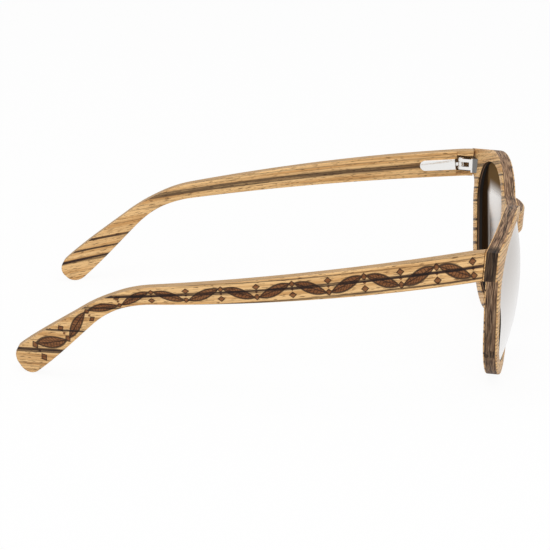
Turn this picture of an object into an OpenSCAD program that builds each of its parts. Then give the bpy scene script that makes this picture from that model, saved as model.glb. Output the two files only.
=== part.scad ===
// Sunglasses with a laminated wooden front, bowed wooden temples and spring hinges.
// The front faces -Y, the temples run to +Y, the wearer's right is -X and +Z is up.
// The rims and the temple tips stand on Z = 0, and the origin is the middle of the footprint.

/* [Front] */
// width across the two end pieces
front_w = 140; // [137:1:144]
// radius of the front's curve, seen from above, at its front face
wrap_r = 290; // [270:10:330]
// lean of the front, foot to the rear, in degrees
lean = 3; // [1:0.5:4]
// width of the wooden rim round each lens
rim_w = 4; // [3.6:0.1:4.6]
// height of the end pieces, and of the temples where they meet them
end_h = 8.7; // [8.4:0.1:9.4]
// radius of the hollow corners where rims, bridge and end pieces meet
fillet_r = 3; // [2:0.5:4]
// thickness of the front's outer veneer
face_t = 0.8; // [0.6:0.1:1]
// thickness of the ply behind the lens groove
rear_core_t = 1.3; // [1.1:0.1:1.6]
// thickness of the rear veneer
rear_t = 0.8; // [0.6:0.1:1]

/* [Lenses] */
// width of a lens opening
lens_w = 50; // [48:0.5:51]
// height of a lens opening
lens_h = 44; // [42.5:0.5:45.5]
// distance between the two lens openings
bridge_gap = 21.6; // [20.6:0.2:23]
// height of an opening's top edge above the middle of the hinges
lens_rise = 6.1; // [5.8:0.1:6.4]
// radius of the arched brow over an opening
brow_r = 43; // [41:1:46]
// distance from the middle of the front to the brow's highest point
brow_x = 38.4; // [37.8:0.2:39]
// corner radius of an opening at the temple side of the brow
brow_out_r = 12; // [11:0.5:13]
// corner radius of an opening at the nose side of the brow
brow_in_r = 13; // [12:0.5:14]
// radius of an opening's round foot
foot_r = 21.5; // [20.5:0.5:22]
// thickness of a lens
lens_t = 1.1; // [1:0.1:1.4]
// radius of a lens's domed face
dome_r = 76; // [72:2:84]
// height of the dome over the lens's edge
dome_h = 3.4; // [3:0.1:3.6]
// depth of the groove that holds the lens edge
groove_d = 1.2; // [1:0.1:1.5]

/* [Bridge and nose pads] */
// height of the bridge
bridge_h = 6.8; // [6:0.2:7.4]
// height of the bridge's top edge above the middle of the hinges
bridge_top = 2.3; // [1.8:0.1:2.8]
// how far the bridge cap stands in front of the rims
bridge_rise = 2; // [1.7:0.1:2.4]
// half the width of the bridge cap
cap_half = 10; // [9:0.5:10.5]
// thickness of the cap at its two ends
cap_edge = 0.4; // [0.3:0.05:0.6]
// how far a nose pad stands behind the rim
pad_h = 2.6; // [2:0.1:3.4]
// half the width of a nose pad
pad_r = 1.6; // [1.3:0.1:1.7]
// slope of a nose pad's face toward the nose, in degrees
pad_splay = 28; // [20:1:35]

/* [Temples] */
// thickness of a temple
temple_t = 4.2; // [4:0.1:4.8]
// thickness of a temple's outer and inner veneers
veneer_t = 0.9; // [0.7:0.1:1.1]
// radius of a temple's bow, seen from above, at its outer face
bow_r = 197; // [185:1:215]
// angle at which a temple leaves the front, outward, in degrees
flare = 13.5; // [12:0.5:15]
// fall of the temple's straight run, in degrees
temple_fall = 7.6; // [7:0.1:8.2]
// fall of the hook behind the ear, in degrees
hook_fall = 41; // [38:1:44]
// distance from the front to the corner of the hook
bend_back = 108; // [103:1:112]
// radius of the bend, on the temple's middle line
bend_r = 38; // [34:1:44]
// height of the temple at its waist, in the bend
waist_h = 4.5; // [4.2:0.1:5.4]
// height of the temple at its tip
tip_h = 9.1; // [8.4:0.1:9.6]
// radius of the tip's lower corner, which stands on the ground
tip_low_r = 4; // [3.8:0.1:4.3]
// radius of the tip's upper corner
tip_top_r = 3.8; // [3:0.1:3.8]
// open joint between the temple and the front
seam_gap = 0.12; // [0.1:0.02:0.2]

/* [Spring hinges] */
// height of the hinge's front leaf
hinge_h = 3.8; // [3.7:0.1:4.2]
// distance from the front's rear face to the hinge pin
hinge_back = 4.7; // [4.6:0.1:4.9]
// distance of the hinge below the middle of the end pieces
hinge_drop = 0.4; // [0.2:0.1:0.6]
// height of the leaf's plate in the front
plate_h = 4.8; // [4.7:0.1:5.4]
// radius of the hinge pin
pin_r = 0.6; // [0.5:0.05:0.65]
// radius of the two ears round the pin
ear_r = 1.25; // [1.15:0.05:1.3]
// running clearance between pin and bores, at the radius
run_gap = 0.03; // [0.02:0.01:0.05]
// thickness of the hook's eye, between the ears
eye_h = 1.4; // [1.35:0.05:1.5]
// depth of the recess in the temple's front end, for the ears
recess_d = 2.4; // [2.35:0.05:2.5]
// depth of the shallow step round the recess
step_d = 0.4; // [0.3:0.05:0.5]
// height of the spring housing
housing_h = 3.6; // [3.4:0.1:4]
// length of the spring housing
housing_l = 12.5; // [12:0.1:13.5]
// travel of the spring when a temple is spread past open
travel = 0.5; // [0.45:0.05:0.7]
// radius of the spring's wire
wire_r = 0.14; // [0.12:0.01:0.15]
// turns of the spring
turns = 5.5; // [5:0.5:6]

/* [Hidden] */

// colours
tan_wood = [0.80, 0.62, 0.40];
dark_wood = [0.45, 0.30, 0.18];
steel = [0.78, 0.78, 0.80];
bronze_glass = [0.35, 0.24, 0.16, 0.7];

// the front's plies, from the rear face outward
lens_play = 0.05;
edge_play = 0.15;
groove_t = lens_t + 2 * lens_play;
front_t = rear_t + rear_core_t + groove_t + face_t;
rear_r = wrap_r - front_t;
rear_core_r = rear_r + rear_t;
groove_r = rear_core_r + rear_core_t;
face_r = groove_r + groove_t;
round_fn = 360;
reach = front_w / 2;

// height of a point of the rear face behind the middle of the front
function sag(x, r) = rear_r - sqrt(r * r - x * x);

// the lens opening is bounded by an arched brow, three circles and the lines that touch the lowest one
open_low = lens_rise - lens_h;
lens_in = bridge_gap / 2;
lens_out = lens_in + lens_w;
foot_x = lens_in + 0.49 * lens_w;
brow_c = [brow_x, lens_rise - brow_r];

// middle of the brow's corner at x, whose circle of radius r touches the brow from inside
function brow_corner(x, r) = [x, brow_c.y + sqrt(pow(brow_r - r, 2) - pow(x - brow_x, 2))];
circle_c = [brow_corner(lens_out - brow_out_r, brow_out_r),
    brow_corner(lens_in + brow_in_r, brow_in_r),
    [foot_x, open_low + foot_r]];
circle_r = [brow_out_r, brow_in_r, foot_r];
arc_steps = [12, 12, 28];
brow_steps = 14;

// direction of the outward normal of the line that touches circles i and j
function touch(i, j) =
    let (d = circle_c[j] - circle_c[i])
    atan2(d.y, d.x) - acos((circle_r[i] - circle_r[j]) / norm(d));
function after(a, b) = b < a ? after(a, b + 360) : b < a + 360 ? b : after(a, b - 360);
function arc(c, r, a, b, n) = [for (k = [0:n])
    let (t = a + (b - a) * k / n)
    c + r * [cos(t), sin(t)]];
function bearing(from, to) = atan2(to.y - from.y, to.x - from.x);
brow_ends = [bearing(brow_c, circle_c[0]), bearing(brow_c, circle_c[1])];

// part of circle i, or of the brow, from direction a to b, moved out by grow
function circle_arc(i, grow, a, b, n) = arc(circle_c[i], circle_r[i] + grow, a, after(a, b), n);
function brow_arc(grow, a, b) = arc(brow_c, brow_r + grow, a, b, brow_steps);
function opening_points(grow) = tidy(concat(
    circle_arc(0, grow, touch(2, 0), brow_ends[0], arc_steps[0]),
    brow_arc(grow, brow_ends[0], brow_ends[1]),
    circle_arc(1, grow, brow_ends[1], touch(1, 2), arc_steps[1]),
    circle_arc(2, grow, touch(1, 2), touch(2, 0), arc_steps[2])));

// a hollow corner touches a level edge at height v and the rim round a circle at c:
// it lies on the side given by way (1 or -1), above the edge (up = 1) or below it (up = -1)
function hollow_c(c, r, v, way, up) =
    let (rise = v + up * fillet_r - c.y, reach_r = r + rim_w + fillet_r)
    c + [way * sqrt(reach_r * reach_r - rise * rise), rise];
bridge_low = bridge_top - bridge_h;
hollow_steps = 8;
bridge_foot = hollow_c(circle_c[1], circle_r[1], bridge_low, -1, -1);
end_foot = hollow_c(circle_c[0], circle_r[0], -end_h / 2, 1, -1);

// the hollow at the bridge's top touches the brow's corner, or the arch where that reaches further down
corner_head = hollow_c(circle_c[1], circle_r[1], bridge_top, -1, 1);
on_corner = bearing(circle_c[1], corner_head) > brow_ends[1];
bridge_head = on_corner ? corner_head : hollow_c(brow_c, brow_r, bridge_top, -1, 1);

// the brow's outer edge starts with the line from the end piece's top corner that touches the arch
end_top = [front_w / 2, end_h / 2];
brow_turn = bearing(brow_c, end_top) + acos((brow_r + rim_w) / norm(end_top - brow_c));

// half of the front's outline, from the bridge's foot round the rim to the bridge's top
function rim_arc(i, a, b, n) = circle_arc(i, rim_w, a, b, n);
half_front = concat(
    arc(bridge_foot, fillet_r, 90, bearing(bridge_foot, circle_c[1]), hollow_steps),
    rim_arc(1, bearing(circle_c[1], bridge_foot), touch(1, 2), arc_steps[1] / 2),
    rim_arc(2, touch(1, 2), touch(2, 0), arc_steps[2]),
    rim_arc(0, touch(2, 0), bearing(circle_c[0], end_foot), arc_steps[0] / 2),
    arc(end_foot, fillet_r, after(90, bearing(end_foot, circle_c[0])), 90, hollow_steps),
    [[front_w / 2, -end_h / 2], end_top],
    brow_arc(rim_w, brow_turn, on_corner ? brow_ends[1] : bearing(brow_c, bridge_head)),
    on_corner ? rim_arc(1, brow_ends[1], bearing(circle_c[1], bridge_head), arc_steps[1] / 2) : [],
    arc(bridge_head, fillet_r, bearing(bridge_head, on_corner ? circle_c[1] : brow_c), -90, hollow_steps));

// points that follow each other closer than this are one point
same = 0.001;
function tidy(p) = [for (k = [0:len(p) - 1])
    if (norm(p[k] - p[(k + 1) % len(p)]) > same) p[k]];
front_points = tidy(concat(half_front,
    [for (k = [len(half_front) - 1:-1:0]) [-half_front[k].x, half_front[k].y]]));

// the front leans about the end pieces' rear edge, and its foot is on the ground
seat_y = sag(front_w / 2, rear_r);
foot_y = sag(foot_x, wrap_r);
hinge_z = -((foot_y - seat_y) * sin(lean) + (open_low - rim_w) * cos(lean));

// the temple's middle line, in the Y-Z plane
corner = [seat_y + bend_back, hinge_z - bend_back * tan(temple_fall)];
tip_z = tip_low_r + (tip_h / 2 - tip_low_r) * cos(hook_fall);
tip_c = [corner.x + (corner.y - tip_z) / tan(hook_fall), tip_z];
lead_in = 8;
tangent_l = bend_r * tan((hook_fall - temple_fall) / 2);
function heading(a) = [cos(a), -sin(a)];
function upward(a) = [sin(a), cos(a)];
run_start = [seat_y - lead_in, hinge_z + lead_in * tan(temple_fall)];
bend_start = corner - tangent_l * heading(temple_fall);
bend_end = corner + tangent_l * heading(hook_fall);
bend_c = bend_start - bend_r * upward(temple_fall);
run_l = norm(bend_start - run_start);
bend_l = bend_r * (hook_fall - temple_fall) * PI / 180;
hook_l = norm(tip_c - bend_end);
waist_s = run_l + bend_l / 2;
tip_s = run_l + bend_l + hook_l;
run_steps = 24;
bend_steps = 14;
hook_steps = 12;
taper_power = 1.6;

// half the temple's height at a distance s along its middle line
function ease(t) = t * t * (3 - 2 * t);
function half_height(s) = s < waist_s
    ? end_h / 2 - (end_h - waist_h) / 2 * pow(max(0, s - lead_in) / (waist_s - lead_in), taper_power)
    : waist_h / 2 + (tip_h - waist_h) / 2 * ease((s - waist_s) / (tip_s - waist_s));

// stations along the middle line: point, fall and half height
stations = concat(
    [for (k = [0:run_steps])
        let (t = k / run_steps)
        [run_start + t * (bend_start - run_start), temple_fall, half_height(t * run_l)]],
    [for (k = [1:bend_steps])
        let (t = k / bend_steps, a = temple_fall + t * (hook_fall - temple_fall))
        [bend_c + bend_r * upward(a), a, half_height(run_l + t * bend_l)]],
    [for (k = [1:hook_steps])
        let (t = k / hook_steps)
        [bend_end + t * (tip_c - bend_end), hook_fall, half_height(run_l + bend_l + t * hook_l)]]);
last = len(stations) - 1;

// the tip's end is square to the hook and has two round corners
tip_steps = 12;
tip_head = tip_c + (tip_low_r - tip_top_r) * heading(hook_fall)
    + (tip_h / 2 - tip_top_r) * upward(hook_fall);
tip_foot = tip_c - (tip_h / 2 - tip_low_r) * upward(hook_fall);
function tip_corner(c, r, a) = [for (k = [0:tip_steps]) c + r * upward(a + 90 * k / tip_steps)];
profile_points = tidy(concat(
    [for (s = stations) s[0] + s[2] * upward(s[1])],
    tip_corner(tip_head, tip_top_r, hook_fall),
    tip_corner(tip_foot, tip_low_r, hook_fall + 90),
    [for (k = [last:-1:0]) stations[k][0] - stations[k][2] * upward(stations[k][1])]));

// the temple's bow, seen from above
bow_c = [front_w / 2 - bow_r * cos(flare), seat_y + bow_r * sin(flare)];
inner_r = bow_r - temple_t;

// the hinge pin stands on the temple's inner face, and the hinge lies along that face
pin_y = sag(front_w / 2 - temple_t, rear_r) + hinge_back;
hinge_turn = asin((bow_c.y - pin_y) / inner_r);
pin_x = bow_c.x + inner_r * cos(hinge_turn);

// the temple's end turns clear of the front's rear face inside this circle round the pin
turn_gap = 0.35;
pin_axis = [pin_x, rear_r - pin_y];
turn_r = rear_r - norm(pin_axis) - turn_gap;
turn_x = turn_r * sin(hinge_turn + atan2(pin_axis.x, pin_axis.y));

// hinge parts, measured from the pin: x outward, y to the rear along the temple
slot_h = eye_h + 0.2;
slot_floor = hinge_back - 1.8;
leaf_back = hinge_back + 1.6;
plate_in = 2.4;
plate_back = hinge_back - 0.9;
plate_play = 0.25;
head_r = 0.95;
head_t = 0.35;
eye_r = ear_r - 0.05;
shank_r = 0.7;
shank_h = 1.1;
rod_r = 0.45;
bore_r = 1.05;
wall_in = 1.5;
wall_out = 1.9;
step_y = 1.7;
mouth_y = step_y + 0.1;
shoulder_play = 0.03;
bush_l = 2.5;
pressed_l = 4.2;
spring_l = pressed_l + travel;
spring_y = mouth_y + bush_l;
stop_y = spring_y + spring_l;
stop_l = 0.8;
stop_r = 0.85;
bore_end = stop_y + stop_l + 0.6;
coil_r = 0.72;
coil_steps = 18;
wire_sides = 6;
end_play = 0.02;

// the spring's middle line, and its least gap to itself
coil_n = round(turns * coil_steps);
coil_rise = spring_l - 2 * wire_r - 2 * end_play;
function coil_at(k) = [coil_r * cos(360 * k / coil_steps), coil_r * sin(360 * k / coil_steps),
    wire_r + end_play + coil_rise * k / coil_n];
coil_gap = min([for (i = [0:coil_n]) for (j = [i + coil_steps / 2:1:coil_n])
    norm(coil_at(i) - coil_at(j)) - 2 * wire_r]);
echo(spring_gap = coil_gap);

// the footprint's middle goes to the origin
front_y = seat_y - (front_t + bridge_rise + seat_y) * cos(lean) - bridge_top * sin(lean);
middle_y = (front_y + tip_head.x + tip_top_r) / 2;

// frames of reference
module placed() {
    translate([0, -middle_y, 0])
    children();
}

module right() {
    mirror([1, 0, 0])
    children();
}

module front_frame() {
    translate([0, seat_y, hinge_z])
    rotate([lean, 0, 0])
    translate([0, -seat_y, 0])
    children();
}

module hinge_frame() {
    translate([pin_x, pin_y, hinge_z - hinge_drop])
    rotate([0, 0, -hinge_turn])
    children();
}

// the spring box lies along the fall of the temple, from the pin to the rear
module spring_frame() {
    hinge_frame()
    rotate([-temple_fall, 0, 0])
    children();
}

// outlines and tools
module through_y(y0, y1) {
    rotate([90, 0, 0])
    translate([0, 0, -y1])
    linear_extrude(height = y1 - y0)
    children();
}

module through_x(x0, x1) {
    translate([x0, 0, 0])
    rotate([90, 0, 90])
    linear_extrude(height = x1 - x0)
    children();
}

module upright(r) {
    cylinder(r = r, h = 2 * reach, center = true, $fn = round_fn);
}

module along_y(r, y0, y1) {
    translate([0, y0, 0])
    rotate([-90, 0, 0])
    cylinder(r = r, h = y1 - y0, $fn = 48);
}

module block(x0, x1, y0, y1, h) {
    translate([x0, y0, -h / 2])
    cube([x1 - x0, y1 - y0, h]);
}

module openings(grow) {
    polygon(opening_points(grow));
    mirror([1, 0])
    polygon(opening_points(grow));
}

module bridge_2d(half) {
    translate([-half, bridge_low])
    square([2 * half, bridge_h]);
}

module wrap_shell(r0, r1) {
    translate([0, rear_r, 0])
    difference() {
        upright(r1);
        upright(r0);
    }
}

module ply(r0, r1, grow) {
    front_frame()
    difference() {
        intersection() {
            through_y(-reach / 2, reach / 2)
            polygon(front_points);
            wrap_shell(r0, r1);
        }
        through_y(-reach, reach)
        openings(grow);
    }
}

module leaf_foot() {
    block(-plate_in, ear_r, -leaf_back, -plate_back, plate_h);
}

module leaf_pockets() {
    hinge_frame()
    leaf_foot();
    right()
    hinge_frame()
    leaf_foot();
}

// front
module front_veneer() {
    color(tan_wood)
    placed()
    ply(face_r, wrap_r, 0);
}

module groove_ply() {
    color(dark_wood)
    placed()
    difference() {
        ply(groove_r, face_r, groove_d);
        leaf_pockets();
    }
}

module rear_core() {
    color(dark_wood)
    placed()
    difference() {
        ply(rear_core_r, groove_r, 0);
        leaf_pockets();
    }
}

module rear_veneer() {
    color(tan_wood)
    placed()
    difference() {
        ply(rear_r, rear_core_r, 0);
        leaf_pockets();
    }
}

// the cap's front face is a cylinder that runs out near the rims
cap_drop = bridge_rise + cap_half * cap_half / (2 * wrap_r) - cap_edge;
cap_r = cap_half * cap_half / (2 * cap_drop) + cap_drop / 2;

module bridge_cap() {
    color(tan_wood)
    placed()
    front_frame()
    difference() {
        intersection() {
            through_y(-reach / 2, reach / 2)
            bridge_2d(cap_half);
            translate([0, cap_r - front_t - bridge_rise, 0])
            upright(cap_r);
        }
        translate([0, rear_r, 0])
        upright(wrap_r);
    }
}

// a pad lies on the nose side of the rim, along the line that touches circles 1 and 2
pad_a = touch(1, 2);
pad_normal = [cos(pad_a), sin(pad_a)];
pad_top = circle_c[1] + (brow_in_r + rim_w / 2) * pad_normal;
pad_low = circle_c[2] + (foot_r + rim_w / 2) * pad_normal;
pad_x = (pad_top.x + pad_low.x) / 2;

module nose_pad() {
    color(tan_wood)
    placed()
    front_frame()
    intersection() {
        through_y(-reach / 2, reach / 2)
        hull() {
            for (p = [pad_top, pad_low])
            translate(p)
            circle(r = pad_r, $fn = 32);
        }
        translate([0, rear_r, 0])
        upright(rear_r);
        translate([pad_x, sag(pad_x, rear_r) + pad_h, 0])
        rotate([0, 0, pad_splay])
        block(-reach, reach, -reach, 0, 2 * reach);
    }
}

module left_nose_pad() {
    nose_pad();
}

module right_nose_pad() {
    right()
    nose_pad();
}

// lenses: a flange in the groove, and a dome that fills the opening
flange_r = groove_r + lens_play;
face_gap = 0.2;
lens_x = lens_in + lens_w / 2;
lens_turn = asin(lens_x / flange_r);
dome_back = flange_r + lens_t + dome_h - dome_r;

module dome(r) {
    translate([dome_back * sin(lens_turn), rear_r - dome_back * cos(lens_turn), lens_rise - lens_h / 2])
    sphere(r = r, $fn = round_fn);
}

module lens() {
    color(bronze_glass)
    placed()
    front_frame()
    difference() {
        union() {
            intersection() {
                through_y(-reach / 2, reach / 2)
                polygon(opening_points(groove_d - edge_play));
                wrap_shell(flange_r, flange_r + lens_t);
            }
            difference() {
                intersection() {
                    through_y(-reach / 2, reach / 2)
                    polygon(opening_points(-face_gap));
                    dome(dome_r);
                }
                translate([0, rear_r, 0])
                upright(flange_r);
            }
        }
        dome(dome_r - lens_t);
    }
}

module left_lens() {
    lens();
}

module right_lens() {
    right()
    lens();
}

// temples
module profile_2d() {
    polygon(profile_points);
}

module housing_2d() {
    translate([mouth_y, -housing_h / 2])
    square([housing_l - housing_h / 2, housing_h]);
    translate([mouth_y + housing_l - housing_h / 2, 0])
    circle(r = housing_h / 2, $fn = 64);
}

module hinge_room() {
    hinge_frame() {
        block(-reach, recess_d, -reach, step_y, plate_h + 2 * plate_play);
        block(-reach, step_d, -reach, step_y, 2 * end_h);
        difference() {
            block(-reach, turn_x, -reach, 0, 2 * end_h);
            cylinder(r = turn_r, h = 3 * end_h, center = true, $fn = 96);
        }
    }
    spring_frame() {
        block(-reach, wall_out, 0, mouth_y + housing_h, housing_h);
        through_x(-reach, wall_out)
        housing_2d();
    }
}

module temple_layer(d0, d1) {
    placed()
    difference() {
        intersection() {
            through_x(0, 2 * reach)
            profile_2d();
            translate([bow_c.x, bow_c.y, hinge_z])
            difference() {
                upright(bow_r - d0);
                upright(bow_r - d1);
            }
            front_frame()
            translate([0, rear_r, 0])
            upright(rear_r - seam_gap);
        }
        hinge_room();
    }
}

module outer_veneer() {
    color(tan_wood)
    temple_layer(0, veneer_t);
}

module temple_core() {
    color(dark_wood)
    temple_layer(veneer_t, temple_t - veneer_t);
}

module inner_veneer() {
    color(tan_wood)
    temple_layer(temple_t - veneer_t, temple_t);
}

module left_outer_veneer() {
    outer_veneer();
}

module left_temple_core() {
    temple_core();
}

module left_inner_veneer() {
    inner_veneer();
}

module right_outer_veneer() {
    right()
    outer_veneer();
}

module right_temple_core() {
    right()
    temple_core();
}

module right_inner_veneer() {
    right()
    inner_veneer();
}

// spring hinges
module leaf() {
    color(steel)
    placed()
    hinge_frame()
    difference() {
        union() {
            cylinder(r = ear_r, h = hinge_h, center = true, $fn = 48);
            block(-ear_r, ear_r, -leaf_back, 0, hinge_h);
            leaf_foot();
        }
        block(-reach, reach, -slot_floor, reach, slot_h);
        cylinder(r = pin_r + run_gap, h = 2 * hinge_h, center = true, $fn = 48);
    }
}

module pin() {
    color(steel)
    placed()
    hinge_frame()
    difference() {
        union() {
            cylinder(r = pin_r, h = hinge_h, center = true, $fn = 48);
            translate([0, 0, hinge_h / 2])
            cylinder(r = head_r, h = head_t, $fn = 48);
        }
        translate([0, 0, hinge_h / 2 + head_t])
        block(-head_r, head_r, -head_t / 3, head_t / 3, head_t);
    }
}

module hook() {
    color(steel)
    placed()
    difference() {
        union() {
            hinge_frame()
            cylinder(r = eye_r, h = eye_h, center = true, $fn = 48);
            spring_frame() {
                block(-shank_r, shank_r, 0, mouth_y - shoulder_play, shank_h);
                along_y(rod_r, shank_r, stop_y + stop_l);
            }
        }
        hinge_frame()
        cylinder(r = pin_r + run_gap, h = 2 * hinge_h, center = true, $fn = 48);
    }
}

module stop() {
    color(steel)
    placed()
    spring_frame()
    difference() {
        along_y(stop_r, stop_y, stop_y + stop_l);
        along_y(rod_r, stop_y - stop_l, stop_y + 2 * stop_l);
    }
}

module bush() {
    color(steel)
    placed()
    spring_frame()
    difference() {
        along_y(bore_r, mouth_y, spring_y);
        along_y(rod_r + run_gap, 0, stop_y);
    }
}

module housing() {
    color(steel)
    placed()
    spring_frame()
    difference() {
        through_x(-wall_in, wall_out)
        housing_2d();
        along_y(bore_r, 0, bore_end);
    }
}

// the spring is one tube: a ring of points at each step along the coil
function coil_ring(k) =
    let (t = 360 * k / coil_steps, out = [cos(t), sin(t), 0])
    let (way = [-coil_r * sin(t) * 2 * PI, coil_r * cos(t) * 2 * PI, coil_rise / turns])
    let (side = cross(way / norm(way), out))
    [for (j = [0:wire_sides - 1])
        coil_at(k) + wire_r * (cos(360 * j / wire_sides) * out + sin(360 * j / wire_sides) * side)];

module spring() {
    points = [for (k = [0:coil_n]) each coil_ring(k)];
    n = wire_sides;
    walls = [for (k = [0:coil_n - 1]) for (j = [0:n - 1]) each
        let (a = k * n + j, b = k * n + (j + 1) % n)
        [[a, b, b + n], [a, b + n, a + n]]];
    caps = [[for (j = [n - 1:-1:0]) j], [for (j = [0:n - 1]) coil_n * n + j]];
    color(steel)
    placed()
    spring_frame()
    translate([0, spring_y, 0])
    rotate([-90, 0, 0])
    polyhedron(points, concat(walls, caps), convexity = 12);
}

module left_leaf() {
    leaf();
}

module left_pin() {
    pin();
}

module left_hook() {
    hook();
}

module left_stop() {
    stop();
}

module left_spring() {
    spring();
}

module left_bush() {
    bush();
}

module left_housing() {
    housing();
}

module right_leaf() {
    right()
    leaf();
}

module right_pin() {
    right()
    pin();
}

module right_hook() {
    right()
    hook();
}

module right_stop() {
    right()
    stop();
}

module right_spring() {
    right()
    spring();
}

module right_bush() {
    right()
    bush();
}

module right_housing() {
    right()
    housing();
}

front_veneer();
groove_ply();
rear_core();
rear_veneer();
bridge_cap();
left_nose_pad();
right_nose_pad();
left_lens();
right_lens();
left_outer_veneer();
left_temple_core();
left_inner_veneer();
right_outer_veneer();
right_temple_core();
right_inner_veneer();
left_leaf();
left_pin();
left_hook();
left_stop();
left_spring();
left_bush();
left_housing();
right_leaf();
right_pin();
right_hook();
right_stop();
right_spring();
right_bush();
right_housing();
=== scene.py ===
"""Wooden sunglasses: laminated front, bowed temples, spring hinges and mirrored brown lenses."""

import math

import bmesh
import bpy
from bpy.props import FloatProperty, FloatVectorProperty, PointerProperty
from mathutils import Matrix, Vector
from mathutils.geometry import delaunay_2d_cdt


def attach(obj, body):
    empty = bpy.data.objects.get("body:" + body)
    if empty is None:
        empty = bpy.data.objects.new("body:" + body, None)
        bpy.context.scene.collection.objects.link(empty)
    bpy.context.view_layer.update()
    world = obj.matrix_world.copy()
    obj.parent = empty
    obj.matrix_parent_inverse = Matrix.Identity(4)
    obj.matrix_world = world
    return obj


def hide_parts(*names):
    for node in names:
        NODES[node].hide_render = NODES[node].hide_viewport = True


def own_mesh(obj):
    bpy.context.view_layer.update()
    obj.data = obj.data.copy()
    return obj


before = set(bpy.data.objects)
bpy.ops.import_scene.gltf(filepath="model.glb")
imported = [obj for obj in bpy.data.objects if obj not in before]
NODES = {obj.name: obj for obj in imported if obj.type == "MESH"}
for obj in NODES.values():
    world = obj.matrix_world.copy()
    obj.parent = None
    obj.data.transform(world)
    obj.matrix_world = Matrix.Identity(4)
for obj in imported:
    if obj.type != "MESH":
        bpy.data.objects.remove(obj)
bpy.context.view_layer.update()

bl_info = {
    "name": "Wooden Sunglasses",
    "version": (1, 0, 0),
    "blender": (4, 5, 0),
    "location": "View3D > Sidebar > Sunglasses",
    "description": "Dresses the solids of a pair of wooden sunglasses",
    "category": "Object",
}

MM = 0.001
SIDES = (("left", 1), ("right", -1))
QUARTER = math.pi / 2

# Front, in millimetres.
FRONT_W = 140.0
WRAP_R = 290.0
LEAN = math.radians(3.0)
RIM_W = 4.0
END_H = 8.7
HOLLOW_R = 3.0
FACE_T = 0.8
REAR_CORE_T = 1.3
REAR_T = 0.8
LENS_T = 1.1
LENS_PLAY = 0.05
EDGE_PLAY = 0.15
GROOVE_T = LENS_T + 2 * LENS_PLAY
GROOVE_D = 1.2
FRONT_T = REAR_T + REAR_CORE_T + GROOVE_T + FACE_T
REAR_R = WRAP_R - FRONT_T
REAR_CORE_R = REAR_R + REAR_T
GROOVE_R = REAR_CORE_R + REAR_CORE_T
FACE_R = GROOVE_R + GROOVE_T

# Lenses: an arched brow and three circles bound an opening, as (across, up, radius).
LENS_W = 50.0
LENS_H = 44.0
LENS_IN = 10.8
LENS_RISE = 6.1
BROW_R = 43.0
BROW_C = (38.4, LENS_RISE - BROW_R)
BROW_OUT_R = 12.0
BROW_IN_R = 13.0
FOOT_R = 21.5
OPEN_LOW = LENS_RISE - LENS_H
FOOT_X = LENS_IN + 0.49 * LENS_W


def brow_corner(x, r):
    """The circle of radius r at x that touches the brow from inside."""
    return x, BROW_C[1] + math.sqrt((BROW_R - r) ** 2 - (x - BROW_C[0]) ** 2), r


CIRCLES = (
    brow_corner(LENS_IN + LENS_W - BROW_OUT_R, BROW_OUT_R),
    brow_corner(LENS_IN + BROW_IN_R, BROW_IN_R),
    (FOOT_X, OPEN_LOW + FOOT_R, FOOT_R),
)
DOME_R = 76.0
DOME_H = 3.4
FACE_GAP = 0.2
FLANGE_R = GROOVE_R + LENS_PLAY
LENS_TURN = math.asin((LENS_IN + LENS_W / 2) / FLANGE_R)
DOME_BACK = FLANGE_R + LENS_T + DOME_H - DOME_R
DOME_C = (DOME_BACK * math.sin(LENS_TURN), REAR_R - DOME_BACK * math.cos(LENS_TURN),
          LENS_RISE - LENS_H / 2)

# Bridge and its cap.
BRIDGE_H = 6.8
BRIDGE_TOP = 2.3
BRIDGE_LOW = BRIDGE_TOP - BRIDGE_H
BRIDGE_RISE = 2.0
CAP_HALF = 10.0
CAP_EDGE = 0.4
CAP_ROUND = 0.8
CAP_DROP = BRIDGE_RISE + CAP_HALF ** 2 / (2 * WRAP_R) - CAP_EDGE
CAP_R = CAP_HALF ** 2 / (2 * CAP_DROP) + CAP_DROP / 2

# Temples.
TEMPLE_T = 4.2
VENEER_T = 0.9
BOW_R = 197.0
FLARE = math.radians(13.5)
FALL = math.radians(7.6)
HOOK_FALL = math.radians(41.0)
BEND_BACK = 108.0
BEND_R = 38.0
WAIST_H = 4.5
TIP_H = 9.1
TIP_LOW_R = 4.0
TIP_TOP_R = 3.8
SEAM_GAP = 0.12
LEAD_IN = 8.0
TAPER_POWER = 1.6

# Spring hinges.
HINGE_BACK = 4.7
HINGE_DROP = 0.4
PLATE_H = 4.8
PLATE_PLAY = 0.25
PLATE_IN = 2.4
PLATE_BACK = HINGE_BACK - 0.9
LEAF_BACK = HINGE_BACK + 1.6
EAR_R = 1.25
RECESS_D = 2.4
STEP_D = 0.4
HOUSING_H = 3.6
HOUSING_L = 12.5
WALL_IN = 1.5
WALL_OUT = 1.9
STEP_Y = 1.7
MOUTH_Y = STEP_Y + 0.1
BORE_R = 1.05
SPRING_Y = MOUTH_Y + 2.5
STOP_Y = SPRING_Y + 4.7
BORE_END = STOP_Y + 1.4
CROWN_MOUTH = 0.2
TURN_GAP = 0.35


def sag(x, r):
    """How far a point at radius r of the front's curve lies behind the middle of its rear face."""
    return REAR_R - math.sqrt(r * r - x * x)


def heading(fall):
    """Direction along a temple that falls by the angle, in the side view."""
    return Vector((math.cos(fall), -math.sin(fall)))


def upward(fall):
    """Direction across it, upward."""
    return Vector((math.sin(fall), math.cos(fall)))


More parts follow.
